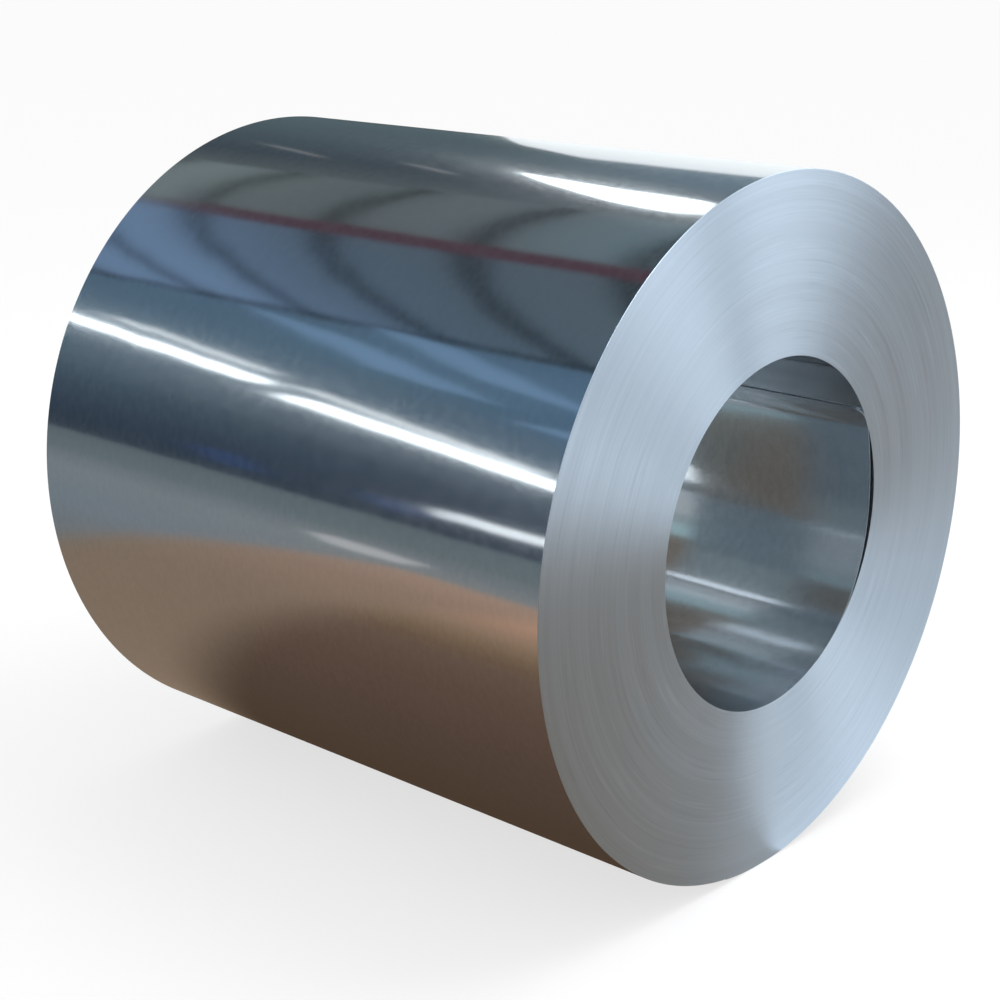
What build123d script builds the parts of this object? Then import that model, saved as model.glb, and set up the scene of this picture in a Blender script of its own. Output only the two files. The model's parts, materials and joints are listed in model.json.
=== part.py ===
from build123d import *
import os
from math import copysign, cos, radians, sin

# A coil of bright galvanised steel sheet, lying on its round side with its bore along X.
# One strip is wound on itself, so the coil is one turned solid. Its turns show on both ends as bands that
# step sideways a little, the strip's first end shows as a lip in the bore, and its last end as a lip outside.
# The origin is on the floor under the middle of the coil. Sizes are in millimetres and degrees.
# Angles are measured about the bore, from +Y up towards +Z.

# The strip and the roll
strip_width = 1000.0
strip_thickness = 1.0
bore_diameter = 508.0
outer_diameter = 1016.0

# Where the strip starts, against the mandrel, and where it ends, just past the floor,
# so that the coil's own weight pins it
first_end_angle = 34.0
last_end_angle = -100.0

# The turn next to a strip end climbs over that end within this angle
climb_angle = 40.0

# Bands of turns: where each one ends, as a share of the build-up, and how far it lies to either side,
# as a share of the furthest wander
band_wander = 1.2
band_end_shares = (0.07, 0.16, 0.24, 0.37, 0.45, 0.58, 0.66, 0.79, 0.88, 0.95, 1.0)
band_wander_shares = (0.35, -0.4, 0.6, -0.2, 1.0, 0.1, -0.65, 0.3, -0.15, 0.55, -0.3)

# How far a cutting shape reaches past the face that it cuts
overrun = 5.0

bore_radius = bore_diameter / 2
outer_radius = outer_diameter / 2
build_up = outer_radius - bore_radius


def polar(radius, angle):
    """A point of the end view, at a radius and an angle about the bore."""
    return radius * cos(radians(angle)), radius * sin(radians(angle))


def coil_section():
    """Half section through the turns, with X along the bore and Y outwards.

    Every turn is one strip width wide, so a band that stands proud at one end lies back at the other."""
    radii = [bore_radius]
    radii += [bore_radius + share * build_up for share in band_end_shares]
    shifts = [share * band_wander for share in band_wander_shares]
    near_end = []
    far_end = []
    for inner, outer, shift in zip(radii[:-1], radii[1:], shifts):
        near_end += [(shift + strip_width / 2, inner), (shift + strip_width / 2, outer)]
        far_end += [(shift - strip_width / 2, inner), (shift - strip_width / 2, outer)]
    return make_face(Polyline(*near_end, *reversed(far_end), close=True))


def lap_cut(radius, step, end_angle, sweep):
    """The sliver that a strip end leaves open on a round face of that radius.

    It is one step deep at the strip's end and runs out to nothing over the sweep, where the next turn
    has climbed over the end. A step outwards cuts the bore, and a step inwards cuts the outside."""
    open_radius = radius - copysign(overrun, step)
    middle_angle = end_angle + sweep / 2
    run_out_angle = end_angle + sweep
    outline = [
        Line(polar(open_radius, end_angle), polar(radius + step, end_angle)),
        ThreePointArc(
            polar(radius + step, end_angle),
            polar(radius + step / 2, middle_angle),
            polar(radius, run_out_angle),
        ),
        Line(polar(radius, run_out_angle), polar(open_radius, run_out_angle)),
        ThreePointArc(
            polar(open_radius, run_out_angle),
            polar(open_radius, middle_angle),
            polar(open_radius, end_angle),
        ),
    ]
    reach = strip_width / 2 + band_wander + overrun
    return extrude(Plane.YZ * make_face(outline), amount=reach, both=True)


def steel_coil():
    """The turned roll, with a lip at each end of the strip, lying on the floor."""
    roll = revolve(coil_section(), axis=Axis.X)
    roll -= lap_cut(bore_radius, strip_thickness, first_end_angle, climb_angle)
    roll -= lap_cut(outer_radius, -strip_thickness, last_end_angle, -climb_angle)
    return Pos(0, 0, outer_radius) * roll


os.makedirs("parts", exist_ok=True)
export_step(steel_coil(), "parts/steel_coil.step")
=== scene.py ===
import json
from math import cos, pi, radians, sin

import bpy
import numpy as np
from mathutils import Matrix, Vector


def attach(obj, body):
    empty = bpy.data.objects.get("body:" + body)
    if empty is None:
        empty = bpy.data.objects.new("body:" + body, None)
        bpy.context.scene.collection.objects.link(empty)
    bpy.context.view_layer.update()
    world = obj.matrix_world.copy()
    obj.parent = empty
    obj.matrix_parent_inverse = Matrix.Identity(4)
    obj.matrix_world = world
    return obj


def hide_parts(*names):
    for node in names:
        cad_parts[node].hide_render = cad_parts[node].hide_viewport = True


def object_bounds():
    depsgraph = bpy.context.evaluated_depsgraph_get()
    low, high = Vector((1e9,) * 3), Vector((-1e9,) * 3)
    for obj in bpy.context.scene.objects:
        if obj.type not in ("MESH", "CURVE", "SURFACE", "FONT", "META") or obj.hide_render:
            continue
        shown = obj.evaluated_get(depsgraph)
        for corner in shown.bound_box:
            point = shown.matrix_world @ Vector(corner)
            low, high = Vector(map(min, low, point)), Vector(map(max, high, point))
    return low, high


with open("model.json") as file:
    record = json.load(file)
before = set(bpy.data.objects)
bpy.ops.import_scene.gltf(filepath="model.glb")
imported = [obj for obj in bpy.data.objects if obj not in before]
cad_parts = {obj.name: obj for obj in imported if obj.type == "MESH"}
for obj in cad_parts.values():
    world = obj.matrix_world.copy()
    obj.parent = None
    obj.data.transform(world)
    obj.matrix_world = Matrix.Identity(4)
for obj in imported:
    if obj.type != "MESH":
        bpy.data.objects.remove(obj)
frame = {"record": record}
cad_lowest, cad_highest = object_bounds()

# A coil of bright galvanised sheet on its round side, with its bore along X, in metres.
# Angles are measured about the bore, from +Y up towards +Z.

# Sizes of the roll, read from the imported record
bore_mount = next(mount for mount in frame["record"]["mounts"] if mount["name"] == "bore")
bore_radius = bore_mount["dims"]["r_mm"] / 1000
strip_width = bore_mount["dims"]["length_mm"] / 1000
axis_height = bore_mount["pos_m"][2]
outer_radius = axis_height
build_up = outer_radius - bore_radius
zinc_colour = frame["record"]["materials"][0]["base_color"]

# The strip and its two ends
strip_thickness = 0.001
first_end_angle = radians(34)
last_end_angle = radians(-100)
climb_angle = radians(40)
hair_angle = radians(0.01)

# Bands of turns, as the solid has them: where each ends, and how far it lies to either side
band_wander = 0.0012
band_end_shares = np.array([0.07, 0.16, 0.24, 0.37, 0.45, 0.58, 0.66, 0.79, 0.88, 0.95, 1.0])
band_wander_shares = np.array([0.35, -0.4, 0.6, -0.2, 1.0, 0.1, -0.65, 0.3, -0.15, 0.55, -0.3])

# The turns' edges show this share of the bands' wander, each row of turns strays a little by itself,
# and the outermost edges are broken by a small chamfer
drift_share = 0.35
turn_stray = 0.0001
turn_seed = 11
edge_break = 0.0004

# The grid of the roll
even_columns = 384
skin_rows = 32
bore_rows = 24
end_rows = 84

# Slight swell of the outer skin: depth, waves along the strip's width and waves round the roll
swell_depth = 0.00022
swell_waves = ((2.3, 3, 0.4), (3.7, -2, 2.1), (5.9, 5, 4.0))

# The first turn, from the strip's end down to where it lies against the next turn for good
first_turn_sweep = radians(96)
first_turn_slack = 0.00005
first_turn_columns = 240
first_turn_rows = 80
tip_corner_radius = 0.020

# How far the first turn has sprung inwards, and where its bulge peaks and ends
bulge_depth = 0.011
bulge_peak_angle = radians(1)
bulge_upper_reach = radians(25)
bulge_lower_reach = radians(46)
bulge_upper_power = 2.0
bulge_lower_power = 1.6
bulge_softness = 0.001
bulge_far_share = 0.55

# The set in the strip's tip, which rises slowly off the wall
tip_lift = 0.00045
tip_rise_angle = radians(8)

# Smooth faces part where they meet at more than this angle
crease_angle = radians(30)

# The zinc: where wisps and grain begin and are full, the tone of its darker patches, and its gloss
wisp_range = (0.3, 0.7)
grain_range = (0.35, 0.65)
patch_shade = 0.93
sheet_roughness = 0.085
sheet_bump = 0.00012

# The dull film over the zinc: the grain's share in it, its range, its weights there, and its gloss
film_grain_share = 0.7
film_range = (0.2, 1.5)
film_weights = (0.55, 1.0)
film_roughness = 0.26
film_ior = 2.8

# The wound edges: each kind of line's share, where arcs begin and are full, and their tones and gloss
line_shares = {"Fine": 0.42, "Middle": 0.48, "Broad": 0.10, "Arc": 0.22}
arc_pale = (0.62, 0.74)
arc_dark = (0.26, 0.38)
edge_shades = (0.94, 1.24)
edge_roughness = (0.44, 0.37)
edge_anisotropy = 0.9
edge_rotation = 0.25
line_bump = 0.0002
line_bump_strength = 0.35

# The camera
camera_place = Vector((1.966, -2.204, 1.357))
camera_azimuth = radians(42.01)
camera_elevation = radians(16.93)
camera_lens = 70.85
camera_sensor = 36.0


def around(radius, angle):
    """Y and Z of points at a radius and an angle about the bore's axis."""
    return radius * np.cos(angle), axis_height + radius * np.sin(angle)


def bore_wall(angle):
    """Radius of the wall behind the first turn.

    It is one strip thickness out where the first turn lies on it, runs back to the bore's radius over
    the climb above the strip's end, and is the bore's radius for the rest of the way round."""
    above_end = np.mod(angle - first_end_angle, 2 * pi)
    climb = strip_thickness * np.clip(1 - above_end / climb_angle, 0, 1)
    under_first_turn = above_end > 2 * pi - first_turn_sweep
    return bore_radius + np.where(under_first_turn, strip_thickness + first_turn_slack, climb)


def outer_wall(angle):
    """Radius of the outside.

    It is one strip thickness in just before the strip's last end, and runs out over the climb."""
    before_end = np.mod(last_end_angle - angle, 2 * pi)
    return outer_radius - strip_thickness * np.clip(1 - before_end / climb_angle, 0, 1)


def swell(across, angle):
    """How far the outer skin lies in.

    It is a sum of slow waves across the strip and round the roll, and it never lies outwards."""
    waves = [np.sin(pi * n * across / strip_width + m * angle + lead) for n, m, lead in swell_waves]
    return swell_depth * (sum(waves) / len(waves) - 1) / 2


def roll_columns():
    """Angles of the grid: even ones, and a close pair at each step in the walls so that it stays sharp."""
    even = np.linspace(0, 2 * pi, even_columns, endpoint=False)
    steps = np.array([first_end_angle, first_end_angle - first_turn_sweep, last_end_angle])
    pairs = np.concatenate([steps - hair_angle, steps + hair_angle])
    return np.unique(np.mod(np.concatenate([even, pairs]), 2 * pi))


def wound_ends(angle):
    """Rows of turns on an end, as shares of the build-up, and each row's sideways shift at each angle.

    The shift runs evenly between the middles of the solid's bands, where it is a share of each band's
    own. Each row strays a little by itself, by an amount that swells and fades once round the roll."""
    shares = np.linspace(0, 1, end_rows)
    band_starts = np.concatenate([[0], band_end_shares[:-1]])
    middles = (band_starts + band_end_shares) / 2
    drift = np.interp(shares, middles, drift_share * band_wander * band_wander_shares)
    rng = np.random.default_rng(turn_seed)
    stray = turn_stray * rng.uniform(-1, 1, end_rows)
    stray[[0, -1]] = 0
    lead = rng.uniform(0, 2 * pi, end_rows)
    return shares, drift[:, None] + stray[:, None] * (1 + np.cos(angle[None, :] - lead[:, None])) / 2


def make_piece(name, points, faces, finish, materials):
    """A mesh object at the origin, from points, four-cornered faces and each face's material number."""
    mesh = bpy.data.meshes.new(name)
    mesh.vertices.add(len(points))
    mesh.vertices.foreach_set("co", points.astype(np.float32).ravel())
    mesh.loops.add(faces.size)
    mesh.loops.foreach_set("vertex_index", faces.astype(np.int32).ravel())
    mesh.polygons.add(len(faces))
    mesh.polygons.foreach_set("loop_start", np.arange(0, faces.size, 4, dtype=np.int32))
    mesh.polygons.foreach_set("material_index", finish.astype(np.int32))
    mesh.polygons.foreach_set("use_smooth", np.ones(len(faces), dtype=bool))
    mesh.update(calc_edges=True)
    mesh.validate()
    mesh.set_sharp_from_angle(angle=crease_angle)
    for material in materials:
        mesh.materials.append(material)
    piece = bpy.data.objects.new(name, mesh)
    bpy.context.scene.collection.objects.link(piece)
    return piece


def quads(rows, columns, close_rows, close_columns):
    """Corners of a grid's faces, wound to face outwards where rows run along +X on an outside."""
    row = np.arange(rows if close_rows else rows - 1)
    column = np.arange(columns if close_columns else columns - 1)
    i, j = np.meshgrid(row, column, indexing="ij")
    i2, j2 = (i + 1) % rows, (j + 1) % columns
    corners = [i * columns + j, i * columns + j2, i2 * columns + j2, i2 * columns + j]
    return np.stack(corners, -1).reshape(-1, 4)


def wound_roll(materials):
    """The roll as one closed grid: a section carried once round the bore's axis.

    The section runs along the outside, over a small chamfer, in over the near end's turns, back along
    the bore, out over the far end's turns, and over the other chamfer. Every turn is one strip width
    wide, so a row that stands out at one end lies back at the other."""
    angle = roll_columns()
    shares, shift = wound_ends(angle)
    near = np.clip(strip_width / 2 + shift, None, cad_highest.x)
    far = np.clip(-strip_width / 2 + shift, cad_lowest.x, None)
    inside, outside = bore_wall(angle), outer_wall(angle)
    radius = np.repeat(bore_radius + build_up * shares[:, None], len(angle), axis=1)
    radius[0], radius[-1] = inside, outside - edge_break

    along_skin = np.linspace(0, 1, skin_rows)[:, None]
    skin_across = far[-1] + edge_break + (near[-1] - far[-1] - 2 * edge_break) * along_skin
    along_bore = np.linspace(1, 0, bore_rows)[1:-1, None]
    bore_across = far[0] + (near[0] - far[0]) * along_bore
    across = np.concatenate([skin_across, near[::-1], bore_across, far])
    spread = np.concatenate([
        np.repeat(outside[None, :], skin_rows, axis=0),
        radius[::-1],
        np.repeat(inside[None, :], len(bore_across), axis=0),
        radius,
    ])
    row = np.arange(len(across))
    on_outside = (row <= skin_rows) | (row == row[-1])
    spread = spread + np.where(on_outside[:, None], swell(across, angle[None, :]), 0)

    y, z = around(spread, angle[None, :])
    points = np.stack([across, y, z], -1).reshape(-1, 3)
    faces = quads(len(across), len(angle), True, True)
    on_near_end = (row >= skin_rows - 1) & (row < skin_rows + end_rows - 1)
    on_far_end = row >= len(across) - end_rows
    finish = np.repeat(on_near_end | on_far_end, len(angle))
    return make_piece("wound_roll", points, faces, finish, materials)


def first_turn_gap(angle, across):
    """How far the first turn stands off the next one.

    Each side of its peak it falls as one less a power of the way to the bulge's end, the ends are eased,
    and it shrinks evenly from the near end to the far one."""
    way = angle - bulge_peak_angle
    upper = 1 - (np.clip(way, 0, None) / bulge_upper_reach) ** bulge_upper_power
    lower = 1 - (np.clip(-way, 0, None) / bulge_lower_reach) ** bulge_lower_power
    height = bulge_depth * np.where(way > 0, upper, lower)
    eased = (height + np.sqrt(height ** 2 + bulge_softness ** 2)) / 2
    along = across / strip_width + 0.5
    return eased * (bulge_far_share + (1 - bulge_far_share) * along)


def tip_set(angle):
    """How far the strip's tip stands off the wall by its own set, rising as a square towards its end."""
    part = np.clip(1 - (first_end_angle - angle) / tip_rise_angle, 0, 1)
    return tip_lift * part ** 2


def first_turn(materials):
    """The first turn as a closed thin sheet on a grid: across the strip by along the turn.

    Its tip is rounded off at both corners by a quarter circle, and each point is at the bore's radius
    less the gap and the set of the tip. Its other end butts against the wall, in line with the bore."""
    across = strip_width / 2 * np.sin(np.linspace(-pi / 2, pi / 2, first_turn_rows))
    from_corner = np.clip(np.abs(across) - (strip_width / 2 - tip_corner_radius), 0, tip_corner_radius)
    cut_back = tip_corner_radius - np.sqrt(tip_corner_radius ** 2 - from_corner ** 2)
    tip_angle = first_end_angle - cut_back / bore_radius
    root_angle = first_end_angle - first_turn_sweep
    along = np.linspace(0, 1, first_turn_columns)
    angle = root_angle + (tip_angle[:, None] - root_angle) * along[None, :]
    across = np.repeat(across[:, None] + band_wander * band_wander_shares[0], first_turn_columns, axis=1)

    inside = bore_radius - first_turn_gap(angle, across) - tip_set(angle)
    outside = inside + strip_thickness
    y_out, z_out = around(outside, angle)
    y_in, z_in = around(inside, angle)
    outer_face = np.stack([across, y_out, z_out], -1)
    inner_face = np.stack([across, y_in, z_in], -1)[::-1]
    points = np.concatenate([outer_face, inner_face]).reshape(-1, 3)

    rows = 2 * first_turn_rows
    walls = quads(rows, first_turn_columns, True, False)
    row = np.repeat(np.arange(rows), first_turn_columns - 1)
    on_edge = (row == first_turn_rows - 1) | (row == rows - 1)
    top = np.arange(first_turn_rows - 1)
    under = rows - 1 - top
    corners = np.stack([top, top + 1, under - 1, under], -1) * first_turn_columns
    faces = np.concatenate([walls, corners, corners[:, ::-1] + first_turn_columns - 1])
    finish = np.concatenate([on_edge, np.ones(2 * len(top), dtype=bool)])
    return make_piece("first_turn", points, faces, finish, materials)


# Node trees

def add(tree, kind, **settings):
    """A node of that kind in the tree, with its settings."""
    node = tree.nodes.new(kind)
    for name, value in settings.items():
        setattr(node, name, value)
    return node


def feed(tree, term, socket):
    """Links a socket to another, or sets it to a value or a colour."""
    if isinstance(term, bpy.types.NodeSocket):
        tree.links.new(term, socket)
    elif socket.type == "RGBA":
        socket.default_value = (*term, 1)
    else:
        socket.default_value = term


def maths(tree, operation, *terms):
    """A Math node over values or sockets, and its result."""
    node = add(tree, "ShaderNodeMath", operation=operation)
    for socket, term in zip(node.inputs, terms):
        feed(tree, term, socket)
    return node.outputs["Value"]


def smooth(tree, value, low, high, start=0.0, stop=1.0):
    """A value that eases from start to stop while another runs from low to high."""
    node = add(tree, "ShaderNodeMapRange", interpolation_type="SMOOTHSTEP")
    feed(tree, value, node.inputs["Value"])
    node.inputs["From Min"].default_value = low
    node.inputs["From Max"].default_value = high
    node.inputs["To Min"].default_value = start
    node.inputs["To Max"].default_value = stop
    return node.outputs["Result"]


def blend(tree, factor, first, second):
    """A colour that runs from the first to the second as the factor runs from 0 to 1."""
    node = add(tree, "ShaderNodeMix", data_type="RGBA")
    feed(tree, factor, node.inputs[0])
    feed(tree, first, node.inputs[6])
    feed(tree, second, node.inputs[7])
    return node.outputs[2]


def noise(tree, place, rate, detail):
    """Smooth noise over a place, at a rate per metre, with finer octaves as the detail rises."""
    node = add(tree, "ShaderNodeTexNoise", noise_dimensions="3D")
    node.inputs["Detail"].default_value = detail
    feed(tree, place, node.inputs["Vector"])
    feed(tree, rate, node.inputs["Scale"])
    return node.outputs["Fac"]


def object_place(tree):
    """The point's own place on the object, whole and as X, Y and Z."""
    place = add(tree, "ShaderNodeTexCoord").outputs["Object"]
    parts = add(tree, "ShaderNodeSeparateXYZ")
    feed(tree, place, parts.inputs[0])
    return place, parts.outputs["X"], parts.outputs["Y"], parts.outputs["Z"]


def new_group(name, inputs, outputs):
    """An empty shader node group with those value inputs and those value outputs."""
    tree = bpy.data.node_groups.new(name, "ShaderNodeTree")
    for label, value in inputs.items():
        socket = tree.interface.new_socket(label, in_out="INPUT", socket_type="NodeSocketFloat")
        socket.default_value = value
    for label in outputs:
        tree.interface.new_socket(label, in_out="OUTPUT", socket_type="NodeSocketFloat")
    return tree, add(tree, "NodeGroupInput"), add(tree, "NodeGroupOutput")


def spangle_group():
    """Zinc spangle: wisps of dull grain drawn out round the roll, broad patches, and a slow swell.

    The wisps are noise that changes faster across the strip than round the roll, with a finer grain
    over it."""
    inputs = {
        "Wisps per Metre": 130.0,
        "Wisp Stretch": 0.5,
        "Grains per Metre": 240.0,
        "Patches per Metre": 7.0,
        "Swells per Metre": 14.0,
    }
    tree, given, made = new_group("zinc_spangle", inputs, ("Wisp", "Grain", "Patch", "Swell"))
    place, x, y, z = object_place(tree)
    drawn = add(tree, "ShaderNodeCombineXYZ")
    feed(tree, x, drawn.inputs["X"])
    feed(tree, maths(tree, "MULTIPLY", y, given.outputs["Wisp Stretch"]), drawn.inputs["Y"])
    feed(tree, maths(tree, "MULTIPLY", z, given.outputs["Wisp Stretch"]), drawn.inputs["Z"])
    wisp = noise(tree, drawn.outputs["Vector"], given.outputs["Wisps per Metre"], 1.0)
    feed(tree, smooth(tree, wisp, *wisp_range), made.inputs["Wisp"])
    grain = noise(tree, place, given.outputs["Grains per Metre"], 1.0)
    feed(tree, smooth(tree, grain, *grain_range), made.inputs["Grain"])
    feed(tree, noise(tree, place, given.outputs["Patches per Metre"], 0.0), made.inputs["Patch"])
    feed(tree, noise(tree, place, given.outputs["Swells per Metre"], 0.0), made.inputs["Swell"])
    return tree


def turn_lines_group():
    """Edges of the turns: noise that changes fast along the radius and slowly round the roll.

    Three pitches run nearly all the way round, and sparse arcs, pale where it is high and dark where it
    is low, run part of the way."""
    inputs = {
        "Axis Height": axis_height,
        "Fine per Metre": 900.0,
        "Middle per Metre": 330.0,
        "Broad per Metre": 55.0,
        "Arc per Metre": 180.0,
        "Slow Turn": 0.9,
        "Arc Turn": 3.0,
    }
    tree, given, made = new_group("turn_lines", inputs, ("Fine", "Middle", "Broad", "Arc"))
    y, z = object_place(tree)[2:]
    spoke = add(tree, "ShaderNodeCombineXYZ")
    feed(tree, y, spoke.inputs["Y"])
    feed(tree, maths(tree, "SUBTRACT", z, given.outputs["Axis Height"]), spoke.inputs["Z"])
    radius = add(tree, "ShaderNodeVectorMath", operation="LENGTH")
    feed(tree, spoke.outputs["Vector"], radius.inputs[0])
    unit = add(tree, "ShaderNodeVectorMath", operation="NORMALIZE")
    feed(tree, spoke.outputs["Vector"], unit.inputs[0])
    turns = {"Fine": "Slow Turn", "Middle": "Slow Turn", "Broad": "Slow Turn", "Arc": "Arc Turn"}
    for label, turn in turns.items():
        slow = add(tree, "ShaderNodeVectorMath", operation="SCALE")
        feed(tree, unit.outputs["Vector"], slow.inputs[0])
        feed(tree, given.outputs[turn], slow.inputs["Scale"])
        outwards = add(tree, "ShaderNodeCombineXYZ")
        rate = given.outputs[label + " per Metre"]
        feed(tree, maths(tree, "MULTIPLY", radius.outputs["Value"], rate), outwards.inputs["X"])
        both = add(tree, "ShaderNodeVectorMath", operation="ADD")
        feed(tree, slow.outputs["Vector"], both.inputs[0])
        feed(tree, outwards.outputs["Vector"], both.inputs[1])
        lines = noise(tree, both.outputs["Vector"], 1.0, 1.0)
        if label == "Arc":
            pale = smooth(tree, lines, *arc_pale)
            dark = smooth(tree, lines, *arc_dark, 1.0, 0.0)
            lines = maths(tree, "SUBTRACT", pale, dark)
        feed(tree, lines, made.inputs[label])
    return tree


def metal(name):
    """A material with one Principled shader, its tree and that shader."""
    material = bpy.data.materials.new(name)
    material.use_nodes = True
    shader = material.node_tree.nodes["Principled BSDF"]
    shader.inputs["Metallic"].default_value = 1.0
    return material, material.node_tree, shader


def shade(colour, share):
    """A colour made lighter or darker by a share."""
    return [min(1.0, channel * share) for channel in colour]


def bump(tree, height, distance, strength):
    """The normal that a height gives."""
    node = add(tree, "ShaderNodeBump")
    node.inputs["Strength"].default_value = strength
    node.inputs["Distance"].default_value = distance
    feed(tree, height, node.inputs["Height"])
    return node.outputs["Normal"]


def bright_sheet(spangle):
    """The sheet's face: near mirror with a slow swell, under a dull film that hazes highlights in wisps."""
    material, tree, shader = metal("bright_sheet")
    zinc = add(tree, "ShaderNodeGroup", node_tree=spangle)
    tone = blend(tree, zinc.outputs["Patch"], shade(zinc_colour, patch_shade), zinc_colour)
    feed(tree, tone, shader.inputs["Base Color"])
    shader.inputs["Roughness"].default_value = sheet_roughness
    film = maths(tree, "MULTIPLY_ADD", zinc.outputs["Grain"], film_grain_share, zinc.outputs["Wisp"])
    feed(tree, smooth(tree, film, *film_range, *film_weights), shader.inputs["Coat Weight"])
    shader.inputs["Coat Roughness"].default_value = film_roughness
    shader.inputs["Coat IOR"].default_value = film_ior
    feed(tree, bump(tree, zinc.outputs["Swell"], sheet_bump, 1.0), shader.inputs["Normal"])
    return material


def wound_edge(turn_lines):
    """The cut edges of the turns: satin, drawn out across the turns, with the lines between them."""
    material, tree, shader = metal("wound_edge")
    lines = add(tree, "ShaderNodeGroup", node_tree=turn_lines)
    tone = 0.0
    for label, share in line_shares.items():
        tone = maths(tree, "MULTIPLY_ADD", lines.outputs[label], share, tone)
    dark, pale = [shade(zinc_colour, share) for share in edge_shades]
    feed(tree, blend(tree, tone, dark, pale), shader.inputs["Base Color"])
    feed(tree, smooth(tree, tone, 0.0, 1.0, *edge_roughness), shader.inputs["Roughness"])
    shader.inputs["Anisotropic"].default_value = edge_anisotropy
    shader.inputs["Anisotropic Rotation"].default_value = edge_rotation
    round_axis = add(tree, "ShaderNodeTangent", direction_type="RADIAL", axis="X")
    feed(tree, round_axis.outputs["Tangent"], shader.inputs["Tangent"])
    relief = bump(tree, lines.outputs["Middle"], line_bump, line_bump_strength)
    feed(tree, relief, shader.inputs["Normal"])
    return material


# Floor, lights and cards. Only reflections show the cards.

stage_reach = 7.2
stage_half_length = 14.0
light_reach = 6.0
card_lift = 0.001
patch_level = 2 * card_lift
card_steps = 13
tone_level = 1.2

# The floor: its colour, and how much of its white is its own
floor_reach = 40.0
floor_colour = (0.88, 0.88, 0.88)
floor_own_share = 0.7

# Tones before the near end, which the wound edges reflect
front_start = 0.3
front_full = 1.5
front_tone = (0.440, 0.547, 0.660)

# Tones of the vault from the +Y floor line, over the top, to the -Y floor line, as shares of the way,
# near the coil and far from it along X
vault_near_tones = (
    (0.00, (0.10, 0.14, 0.17)), (0.09, (0.13, 0.19, 0.24)), (0.21, (0.13, 0.19, 0.24)),
    (0.27, (0.12, 0.165, 0.20)), (0.31, (0.07, 0.09, 0.11)), (0.34, (0.08, 0.10, 0.12)),
    (0.38, (0.10, 0.12, 0.13)), (0.66, (0.05, 0.085, 0.12)), (0.685, (0.078, 0.141, 0.217)),
    (0.75, (0.078, 0.141, 0.217)), (0.78, (0.06, 0.115, 0.18)), (0.83, (0.06, 0.11, 0.165)),
    (0.87, (0.055, 0.09, 0.135)), (0.90, (0.047, 0.076, 0.104)), (0.94, (0.041, 0.062, 0.091)),
    (0.975, (0.029, 0.046, 0.072)), (1.00, (0.030, 0.046, 0.070)),
)
vault_far_tones = (
    (0.00, (0.06, 0.08, 0.09)), (0.09, (0.067, 0.10, 0.111)), (0.21, (0.06, 0.085, 0.10)),
    (0.27, (0.05, 0.07, 0.085)), (0.31, (0.041, 0.055, 0.069)), (0.34, (0.06, 0.075, 0.085)),
    (0.38, (0.09, 0.11, 0.115)), (0.66, (0.05, 0.10, 0.145)), (0.685, (0.07, 0.12, 0.17)),
    (0.75, (0.065, 0.12, 0.17)), (0.80, (0.065, 0.11, 0.15)), (0.86, (0.055, 0.09, 0.12)),
    (0.90, (0.04, 0.065, 0.09)), (0.94, (0.030, 0.045, 0.070)), (0.975, (0.022, 0.035, 0.055)),
    (1.00, (0.022, 0.035, 0.055)),
)
vault_near_end = 3.6
vault_far_start = 6.3
vault_columns = 65

# The overhead card: its height, its span along Y, where its sides meet, and its tones on either side by
# the distance along X
overhead_height = 6.0
overhead_span = (-3.85, 2.6)
overhead_middle = (-0.1, 0.1)
overhead_tone_reach = 8.0
overhead_front_tones = (
    (0.375, (0.089, 0.121, 0.144)), (0.61, (0.078, 0.111, 0.144)), (0.74, (0.091, 0.136, 0.198)),
    (0.875, (0.148, 0.228, 0.354)),
)
overhead_back_tones = (
    (0.44, (0.133, 0.187, 0.217)), (0.55, (0.115, 0.138, 0.15)), (0.74, (0.109, 0.132, 0.136)),
    (0.875, (0.173, 0.212, 0.217)),
)

# Bars across the overhead card: one is at this X, and they are this far apart
bar_place = -6.42
bar_spacing = 1.01
bar_core = 0.06
bar_reach = 0.17
bar_shade = 0.15

# A warm dark line along the overhead card's middle, which fades far out, and a dark border on its -Y
# side
ridge_tone = (0.085, 0.034, 0.048)
ridge_core = 0.12
ridge_reach = 0.34
ridge_fade = (5.9, 7.2)
ridge_far_share = 0.2
border_span = (-3.68, -3.48)
border_shade = 0.35

# Tones of the floor card by the distance from the coil's middle line, as shares of the reach
floor_tones = (
    (0.00, (0.14, 0.14, 0.13)), (0.07, (0.15, 0.155, 0.15)), (0.167, (0.165, 0.195, 0.22)),
    (0.278, (0.183, 0.212, 0.224)), (0.347, (0.157, 0.183, 0.198)), (0.444, (0.119, 0.151, 0.163)),
    (1.00, (0.11, 0.14, 0.15)),
)

# The slit in the floor card where the coil stands
floor_slit = 0.04

# The warm patch of the floor card beside the coil: its borders, and its tones by the distance from the
# coil's middle line, beside the coil and past its far end. Beside the coil the tones darken towards it as
# a painted shadow of the coil; past its far end they stay lighter.
warm_reach = 2.0
warm_border = 0.1
warm_far_border = -1.15
warm_beside_shadow_tones = (
    (0.05, (0.057, 0.034, 0.022)), (0.125, (0.062, 0.040, 0.026)), (0.20, (0.076, 0.050, 0.034)),
    (0.275, (0.091, 0.058, 0.042)), (0.375, (0.109, 0.068, 0.049)), (0.46, (0.124, 0.082, 0.060)),
    (0.51, (0.144, 0.093, 0.060)), (0.575, (0.209, 0.141, 0.087)), (0.65, (0.296, 0.193, 0.132)),
    (0.75, (0.42, 0.25, 0.165)), (0.875, (0.46, 0.275, 0.19)),
)
warm_past_tones = (
    (0.45, (0.21, 0.155, 0.112)), (0.75, (0.28, 0.19, 0.14)), (0.95, (0.36, 0.235, 0.17)),
)
# Where along X the lighter tones past the far end give way to the painted shadow beside the coil
warm_past_span = (-0.62, -0.36)
warm_bore_out = (0.25, 0.5)
warm_bore_past = (-0.95, -0.80)

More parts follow.
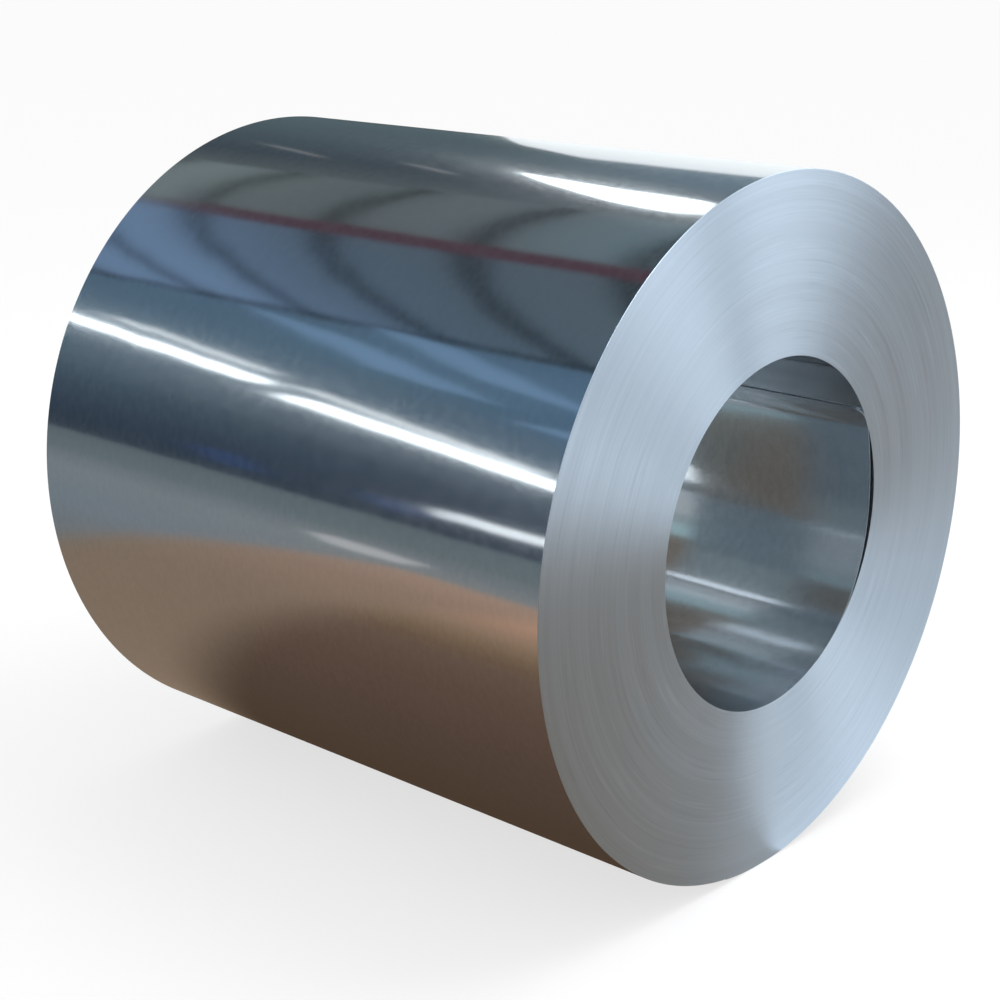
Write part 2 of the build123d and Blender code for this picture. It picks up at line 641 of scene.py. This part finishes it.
# The pale part of the floor card behind the far end, on the +Y side: where it starts along Y and X
pale_out = (0.7, 1.1)
pale_past = (-1.3, -0.9)
pale_tone = (0.42, 0.49, 0.50)

# The floor card before the near end, and how far off the soft cards over it are
front_floor_tone = (0.198, 0.182, 0.160)
end_shade_reach = 5.0

# How far the cards behind the far opening run along X, and between which numbers of mirrors met they
# turn from clear to bright
bore_card_span = (-0.506, -1.25)
bore_card_mirrors = 1.5


def glow(name, strength, colour):
    """A material that gives off one even colour."""
    material = bpy.data.materials.new(name)
    material.use_nodes = True
    tree = material.node_tree
    tree.nodes.clear()
    light = add(tree, "ShaderNodeEmission")
    light.inputs["Strength"].default_value = strength
    light.inputs["Color"].default_value = (*colour, 1)
    tree.links.new(light.outputs[0], add(tree, "ShaderNodeOutputMaterial").inputs["Surface"])
    return material, tree, light


def tone_ramp(tree, factor, tones):
    """Colours strung along a factor from 0 to 1, at the stage's level."""
    node = add(tree, "ShaderNodeValToRGB")
    stops = node.color_ramp.elements
    stops[0].position, stops[1].position = tones[0][0], tones[-1][0]
    for place, colour in tones[1:-1]:
        stops.new(place)
    for stop, (place, colour) in zip(stops, tones):
        stop.color = (*shade(colour, tone_level), 1)
    feed(tree, factor, node.inputs["Fac"])
    return node.outputs["Color"]


def stage_card(name, points, faces, material):
    """A card of the stage that only reflections show."""
    piece = make_piece(name, np.array(points, dtype=float), faces, np.zeros(len(faces)), [material])
    piece.visible_camera = False
    piece.visible_diffuse = False
    piece.visible_shadow = False
    piece.visible_volume_scatter = False
    return piece


def ribbon(name, first_edge, second_edge, material):
    """A card stretched between two edges, each of them a row of points."""
    points = [*first_edge, *second_edge]
    return stage_card(name, points, quads(2, len(first_edge), False, False), material)


def strip_light(name, start, stop, width, strength, colour):
    """A bright strip between two points, square to the line from its middle to the coil."""
    start, stop = Vector(start), Vector(stop)
    line = (stop - start).normalized()
    towards = (Vector((0, 0, axis_height)) - (start + stop) / 2).normalized()
    side = line.cross(towards).normalized() * width / 2
    edges = [[tuple(start + way * side), tuple(stop + way * side)] for way in (-1, 1)]
    return ribbon(name, *edges, glow(name, strength, colour)[0])


def high_point(x, degrees):
    """A point where the lights are, at an angle from the +Y floor line over the top."""
    return x, light_reach * cos(radians(degrees)), light_reach * sin(radians(degrees))


def high_patch(name, places, strength, colour):
    """A bright patch, from places along X with the two angles that it lies between there."""
    low_edge = [high_point(x, low) for x, low, high in places]
    high_edge = [high_point(x, high) for x, low, high in places]
    return ribbon(name, low_edge, high_edge, glow(name, strength, colour)[0])


def to_front(tree, x, tone):
    """A tone that gives way to the front tone before the near end."""
    return blend(tree, smooth(tree, x, front_start, front_full), tone, front_tone)


def vault():
    """A half cylinder of soft dark tones over the coil, along X, for the sheet to reflect."""
    material, tree, light = glow("vault_tone", 1.0, front_tone)
    x, y, z = object_place(tree)[1:]
    turn = maths(tree, "DIVIDE", maths(tree, "ARCTAN2", z, y), pi)
    far = smooth(tree, maths(tree, "ABSOLUTE", x), vault_near_end, vault_far_start)
    tones = [tone_ramp(tree, turn, tones) for tones in (vault_near_tones, vault_far_tones)]
    feed(tree, to_front(tree, x, blend(tree, far, *tones)), light.inputs["Color"])
    ends = [-stage_half_length, stage_half_length]
    angle, across = np.meshgrid(np.linspace(0, pi, vault_columns), ends, indexing="ij")
    points = np.stack([across, stage_reach * np.cos(angle), stage_reach * np.sin(angle)], -1)
    return stage_card("vault", points.reshape(-1, 3), quads(vault_columns, 2, False, False), material)


def overhead_card():
    """A level card over the coil with dark bars across it, a warm line along it and a dark border."""
    material, tree, light = glow("overhead_tone", 1.0, front_tone)
    x, y = object_place(tree)[1:3]
    out = maths(tree, "ABSOLUTE", x)
    share = maths(tree, "DIVIDE", out, overhead_tone_reach)
    sides = [tone_ramp(tree, share, tones) for tones in (overhead_front_tones, overhead_back_tones)]
    tone = blend(tree, smooth(tree, y, *overhead_middle), *sides)
    from_bar = maths(tree, "PINGPONG", maths(tree, "SUBTRACT", x, bar_place), bar_spacing / 2)
    bar = smooth(tree, from_bar, bar_core, bar_reach, bar_shade, 1.0)
    border = smooth(tree, y, *border_span, border_shade, 1.0)
    dark = maths(tree, "SUBTRACT", 1.0, maths(tree, "MULTIPLY", bar, border))
    tone = blend(tree, dark, tone, (0, 0, 0))
    ridge = smooth(tree, maths(tree, "ABSOLUTE", y), ridge_core, ridge_reach, 1.0, 0.0)
    ridge = maths(tree, "MULTIPLY", ridge, smooth(tree, out, *ridge_fade, 1.0, ridge_far_share))
    tone = blend(tree, ridge, tone, ridge_tone)
    feed(tree, to_front(tree, x, tone), light.inputs["Color"])
    ends = (-stage_half_length, stage_half_length)
    edges = [[(end, side, overhead_height) for end in ends] for side in overhead_span]
    return ribbon("overhead_card", *edges, material)


def floor_cards():
    """Level cards just over the floor, warm beside the coil with a painted shadow of the coil darkening
    towards it, and with a slit where the coil stands.
    """
    material, tree, light = glow("floor_tone", 1.0, front_tone)
    x, y = object_place(tree)[1:3]
    out = maths(tree, "ABSOLUTE", y)
    grey = tone_ramp(tree, maths(tree, "DIVIDE", out, stage_reach), floor_tones)
    share = maths(tree, "DIVIDE", out, warm_reach)
    warm_tones = [tone_ramp(tree, share, tones) for tones in (warm_past_tones, warm_beside_shadow_tones)]
    # The lighter warm tones past the far end give way to the painted shadow tones beside the coil
    warm = blend(tree, smooth(tree, x, *warm_past_span), *warm_tones)
    inside = smooth(tree, out, warm_reach - warm_border, warm_reach + warm_border, 1.0, 0.0)
    near = smooth(tree, x, warm_far_border - warm_border, warm_far_border + warm_border)
    off_bore = maths(tree, "MAXIMUM", smooth(tree, out, *warm_bore_out), smooth(tree, x, *warm_bore_past))
    patch = maths(tree, "MULTIPLY", maths(tree, "MULTIPLY", inside, near), off_bore)
    tone = blend(tree, patch, grey, warm)
    pale = maths(tree, "MULTIPLY", smooth(tree, y, *pale_out), smooth(tree, x, *pale_past, 1.0, 0.0))
    tone = blend(tree, pale, tone, pale_tone)
    half = strip_width / 2
    tone = blend(tree, maths(tree, "GREATER_THAN", x, half), tone, front_floor_tone)
    feed(tree, tone, light.inputs["Color"])
    spans = {
        "floor_card_far": ((-stage_half_length, -half), (-stage_reach, stage_reach)),
        "floor_card_left": ((-half, half), (-stage_reach, -floor_slit)),
        "floor_card_right": ((-half, half), (floor_slit, stage_reach)),
        "floor_card_near": ((half, stage_half_length), (-stage_reach, stage_reach)),
    }
    for name, (ends, sides) in spans.items():
        ribbon(name, *[[(end, side, card_lift) for end in ends] for side in sides], material)


def end_wall(name, x, colour):
    """A flat card that closes the vault at one end."""
    sides = (-stage_reach, stage_reach)
    edges = [[(x, side, height) for side in sides] for height in (0, stage_reach)]
    return ribbon(name, *edges, glow(name, 1.0, colour)[0])


def end_shade(name, azimuths, elevations, strength, colour):
    """A soft card before the near end.

    It is a patch of a sphere about the end's middle, between two azimuths from +X towards +Y and between
    two elevations, in degrees."""
    sides = [np.radians(np.linspace(*limits, card_steps)) for limits in (azimuths, elevations)]
    round_way, up = np.meshgrid(*sides, indexing="ij")
    points = np.stack([
        strip_width / 2 + end_shade_reach * np.cos(up) * np.cos(round_way),
        end_shade_reach * np.cos(up) * np.sin(round_way),
        axis_height + end_shade_reach * np.sin(up),
    ], -1).reshape(-1, 3)
    faces = quads(card_steps, card_steps, False, False)
    return stage_card(name, points, faces, glow(name, strength, colour)[0])


def bore_card(name, first_edge, second_edge, strength, colour):
    """A flat card behind the far opening, inside the roll's own outline, that only the bore reflects.

    Light that has met fewer than two mirrors passes through it, so the far end's face doesn't show it.
    Each of its long edges is given by its Y and its height over the bore's axis."""
    material, tree, light = glow(name, strength, colour)
    path = add(tree, "ShaderNodeLightPath")
    both = add(tree, "ShaderNodeMixShader")
    deep = maths(tree, "GREATER_THAN", path.outputs["Glossy Depth"], bore_card_mirrors)
    feed(tree, deep, both.inputs[0])
    tree.links.new(add(tree, "ShaderNodeBsdfTransparent").outputs[0], both.inputs[1])
    tree.links.new(light.outputs[0], both.inputs[2])
    tree.links.new(both.outputs[0], tree.get_output_node("ALL").inputs["Surface"])
    long_edges = (first_edge, second_edge)
    edges = [[(x, y, axis_height + height) for x in bore_card_span] for y, height in long_edges]
    return ribbon(name, *edges, material)


def floor_sector(name, azimuths, radii, strength, colour):
    """A level card before the near end: a sector about its middle, between two azimuths and two radii."""
    turn = np.radians(np.linspace(*azimuths, card_steps))
    level = np.full(card_steps, patch_level)
    edges = [
        np.stack([strip_width / 2 + out * np.cos(turn), out * np.sin(turn), level], -1) for out in radii
    ]
    return ribbon(name, *edges, glow(name, strength, colour)[0])


def floor():
    """A pale floor: mostly its own white to the camera and in reflections, and lit to keep the shadow."""
    material = bpy.data.materials.new("pale_floor")
    material.use_nodes = True
    tree = material.node_tree
    tree.nodes.clear()
    lit = add(tree, "ShaderNodeBsdfDiffuse")
    lit.inputs["Color"].default_value = (*floor_colour, 1)
    white = add(tree, "ShaderNodeEmission")
    path = add(tree, "ShaderNodeLightPath")
    seen = maths(tree, "MAXIMUM", path.outputs["Is Camera Ray"], path.outputs["Is Glossy Ray"])
    seen = maths(tree, "MAXIMUM", seen, path.outputs["Is Transmission Ray"])
    both = add(tree, "ShaderNodeMixShader")
    feed(tree, maths(tree, "MULTIPLY", seen, floor_own_share), both.inputs[0])
    tree.links.new(lit.outputs[0], both.inputs[1])
    tree.links.new(white.outputs[0], both.inputs[2])
    tree.links.new(both.outputs[0], add(tree, "ShaderNodeOutputMaterial").inputs["Surface"])
    corners = floor_reach * np.array([(-1, -1, 0), (1, -1, 0), (1, 1, 0), (-1, 1, 0)])
    make_piece("floor", corners, np.arange(4)[None, :], np.zeros(1), [material])


def panel(name, place, aim, size, power):
    """A soft square lamp that faces a point and lights the floor."""
    lamp = bpy.data.lights.new(name, "AREA")
    lamp.shape = "SQUARE"
    lamp.size = size
    lamp.energy = power
    body = bpy.data.objects.new(name, lamp)
    body.location = place
    body.rotation_mode = "QUATERNION"
    body.rotation_quaternion = (Vector(aim) - Vector(place)).to_track_quat("-Z", "Y")
    body.visible_glossy = False
    bpy.context.scene.collection.objects.link(body)


def white_world():
    """Even white all round, at a plain level."""
    world = bpy.data.worlds.new("white_world")
    world.use_nodes = True
    backdrop = world.node_tree.nodes["Background"]
    backdrop.inputs["Color"].default_value = (1, 1, 1, 1)
    backdrop.inputs["Strength"].default_value = 1.0
    bpy.context.scene.world = world


def camera():
    """The camera at the photograph's place, with no shift."""
    lens = bpy.data.cameras.new("camera")
    lens.lens = camera_lens
    lens.sensor_width = camera_sensor
    body = bpy.data.objects.new("camera", lens)
    body.location = camera_place
    back = Vector((
        sin(camera_azimuth) * cos(camera_elevation),
        -cos(camera_azimuth) * cos(camera_elevation),
        sin(camera_elevation),
    ))
    body.rotation_mode = "QUATERNION"
    body.rotation_quaternion = (-back).to_track_quat("-Z", "Y")
    bpy.context.scene.collection.objects.link(body)
    bpy.context.scene.camera = body


# The pieces

finishes = [bright_sheet(spangle_group()), wound_edge(turn_lines_group())]
for piece in (wound_roll(finishes), first_turn(finishes)):
    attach(piece, "root")
    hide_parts("steel_coil")

# The stage

day_white = (0.93, 0.98, 1.0)
cool_white = (0.877, 1.03, 1.185)
pale_blue = (0.133, 0.222, 0.339)
deep_blue = (0.03, 0.06, 0.16)
far_tone = (0.16, 0.20, 0.24)
plain_white = (1, 1, 1)

white_world()
floor()
vault()
overhead_card()
floor_cards()
end_wall("near_wall", stage_half_length, front_tone)
end_wall("far_wall", -stage_half_length, far_tone)

# The long streaks with a faint one over each, and what shows low on the side: start, end, width, strength
strip_light("long_strip", (-9.3, -3.99, 4.64), (-5.72, -4.99, 3.34), 0.20, 4.5, day_white)
strip_light("long_strip_2", (-5.48, -5.13, 3.10), (-2.6, -5.70, 2.04), 0.20, 4.5, day_white)
strip_light("faint_strip", (-6.95, -4.30, 4.19), (-5.60, -4.78, 3.63), 0.12, 1.3, day_white)
strip_light("faint_strip_2", (-5.40, -4.92, 3.45), (-3.80, -5.39, 2.69), 0.12, 1.3, day_white)
strip_light("low_strip", (-4.52, -5.95, 0.80), (-2.6, -5.95, 0.74), 0.26, 1.5, day_white)
strip_light("blue_spot", (-6.3, -5.97, 0.60), (-5.88, -5.95, 0.74), 0.45, 1.0, deep_blue)
strip_light("blue_spot_2", (-4.95, -5.97, 0.55), (-4.62, -5.95, 0.74), 0.35, 1.0, deep_blue)

# Blue bands over the streaks, a bright wedge near the top, and the pale light behind the coil: X, and the
# two angles there
blue_patches = {
    "blue_patch": (
        (-5.85, 122.6, 122.8), (-5.40, 124.5, 128.0), (-4.89, 127.8, 134.2), (-4.45, 132.5, 136.2),
        (-4.03, 136.9, 137.1),
    ),
    "blue_patch_2": (
        (-4.90, 121.3, 121.5), (-4.60, 122.0, 125.5), (-4.25, 123.7, 130.3), (-3.95, 127.5, 132.0),
        (-3.67, 131.0, 133.5), (-3.30, 134.0, 135.5),
    ),
    "blue_patch_3": ((-3.95, 140.6, 140.8), (-3.70, 140.2, 142.0), (-3.30, 141.0, 144.0)),
}
for name, places in blue_patches.items():
    high_patch(name, places, 1.4, pale_blue)
wedge_places = (
    (-4.52, 50.3, 50.6), (-4.25, 52.0, 55.5), (-3.80, 53.9, 61.0), (-3.48, 54.5, 62.4), (-3.28, 55.0, 61.3)
)
high_patch("wedge_patch", wedge_places, 5.0, day_white)
back_places = (
    (-5.30, 3.0, 8.0), (-5.20, 3.0, 11.3), (-4.91, 3.0, 23.7), (-4.37, 3.0, 32.2), (-2.4, 3.0, 32.5)
)
high_patch("back_patch", back_places, 1.1, day_white)
strip_light("high_line", (-6.32, 3.70, 4.65), (-5.81, 3.33, 4.90), 0.10, 0.25, day_white)
strip_light("high_line_2", (-5.18, 3.55, 4.75), (-4.85, 3.27, 4.95), 0.10, 0.25, day_white)

# A glint low on the far side of the skin
glint_edges = (
    [(-1.81, -2.33, patch_level), (-1.80, -2.48, patch_level), (-1.42, -2.40, patch_level)],
    [(-1.78, -2.30, patch_level), (-1.48, -2.08, patch_level), (-1.28, -2.12, patch_level)],
)
ribbon("glint_card", *glint_edges, glow("glint_card", 0.6, plain_white)[0])

# What the bore shows, between two long edges behind the far opening
bore_card("bore_flap", (-0.30, -0.39), (-0.30, 0.39), 1.0, (0.19, 0.25, 0.29))
bore_card("bore_lid", (-0.30, 0.30), (0.12, 0.30), 1.0, (0.33, 0.40, 0.42))
bore_card("bore_light", (0.17, 0.30), (0.34, 0.30), 2.2, day_white)
bore_card("bore_dark", (0.36, 0.19), (0.36, 0.35), 1.0, (0.08, 0.12, 0.15))
bore_card("bore_side", (0.36, -0.02), (0.36, 0.17), 0.7, day_white)
bore_card("bore_low", (0.36, -0.25), (0.36, -0.11), 1.0, (0.55, 0.77, 0.80))

# What the near end shows: azimuths with radii on the floor, or azimuths with elevations
floor_sector("front_patch", (14, 36), (2.5, 6.9), 2.2, cool_white)
floor_sector("spoke_patch", (59, 61), (0.12, 1.2), 1.6, cool_white)
floor_sector("side_patch", (61, 90), (0.05, 6.9), 0.70, cool_white)
end_shade("end_shade", (-25, 32), (32, 72), 3.5, cool_white)
end_shade("side_shade", (46, 88), (11, 53), 1.9, cool_white)

panel("floor_panel", (1.2, 1.2, 4.0), (0, 0, 0), 2.5, 90)
camera()

# Light runs many times to and fro in the bore
bore_bounces = 10
bpy.context.scene.view_settings.view_transform = "Standard"
bpy.context.scene.cycles.glossy_bounces = bore_bounces
